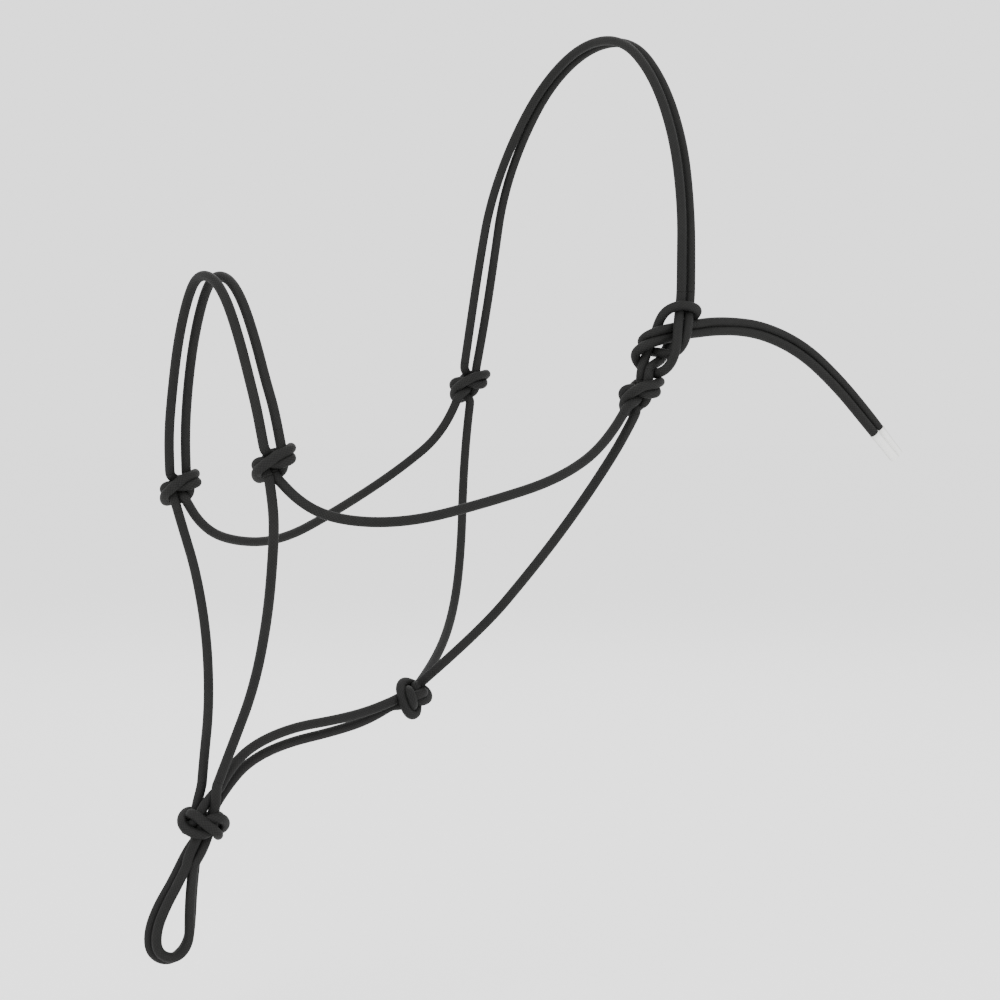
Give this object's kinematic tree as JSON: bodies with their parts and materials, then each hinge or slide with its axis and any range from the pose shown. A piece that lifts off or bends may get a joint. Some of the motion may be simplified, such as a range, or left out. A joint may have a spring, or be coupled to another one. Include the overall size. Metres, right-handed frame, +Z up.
{
  "type": "rope halter",
  "caption": "Knotted rope headstall for a horse: crown tied at the left cheek, double noseband, cheek, chin and throat strands, and a double lead loop below the chin.",
  "frame": {"origin": "underside of the crown at the poll, where it rests behind the horse's ears", "axes": "+Z up; -Y towards the nose; +X towards the horse's left side, where the crown is tied"},
  "size_m": [0.2487, 0.5303, 0.6245],
  "materials": {
    "rope": "tightly braided charcoal-black polyester, matt with a faint sheen",
    "tip_sleeve": "white sleeve shrunk over the rope end, satin gloss"
  },
  "bodies": {
    "crown": {"crown_strand_front": "rope", "crown_strand_rear": "rope", "eye_loop": "rope", "front_tie_strand": "rope", "rear_tie_strand": "rope"},
    "headstall": {"right_nose_knot": "rope", "left_nose_knot": "rope", "right_cheek_knot": "rope", "left_cheek_knot": "rope", "throat_knot": "rope", "fiador_knot": "rope", "right_cheek_strand": "rope", "left_cheek_strand": "rope", "right_chin_strand": "rope", "left_chin_strand": "rope", "upper_curb_strand": "rope", "lower_curb_strand": "rope", "right_throat_strand": "rope", "left_throat_strand": "rope"},
    "noseband": {"front_noseband_strand": "rope", "rear_noseband_strand": "rope"},
    "lead_loop": {"left_lead_loop": "rope", "right_lead_loop": "rope"},
    "tails": {"upper_tail": "rope", "lower_tail": "rope", "upper_tip": "tip_sleeve", "lower_tip": "tip_sleeve"}
  },
  "joints": [
    {"name": "crown_tilt", "type": "hinge", "parent": "crown", "child": "headstall", "pos_m": [0, -0.0475, -0.2375], "axis": [0.9991, -0.0047, -0.042], "range_deg": [-20, 15]},
    {"name": "noseband_tilt", "type": "hinge", "parent": "headstall", "child": "noseband", "pos_m": [0, -0.304, -0.293], "axis": [0.9916, 0, 0.1293], "range_deg": [-25, 25]},
    {"name": "lead_loop_swing", "type": "hinge", "parent": "headstall", "child": "lead_loop", "pos_m": [0, -0.324, -0.541], "axis": [1, 0, 0], "range_deg": [-60, 60]},
    {"name": "tails_swing", "type": "hinge", "parent": "crown", "child": "tails", "pos_m": [0.11, -0.0055, -0.204], "axis": [1, 0, 0], "range_deg": [-60, 10]}
  ]
}
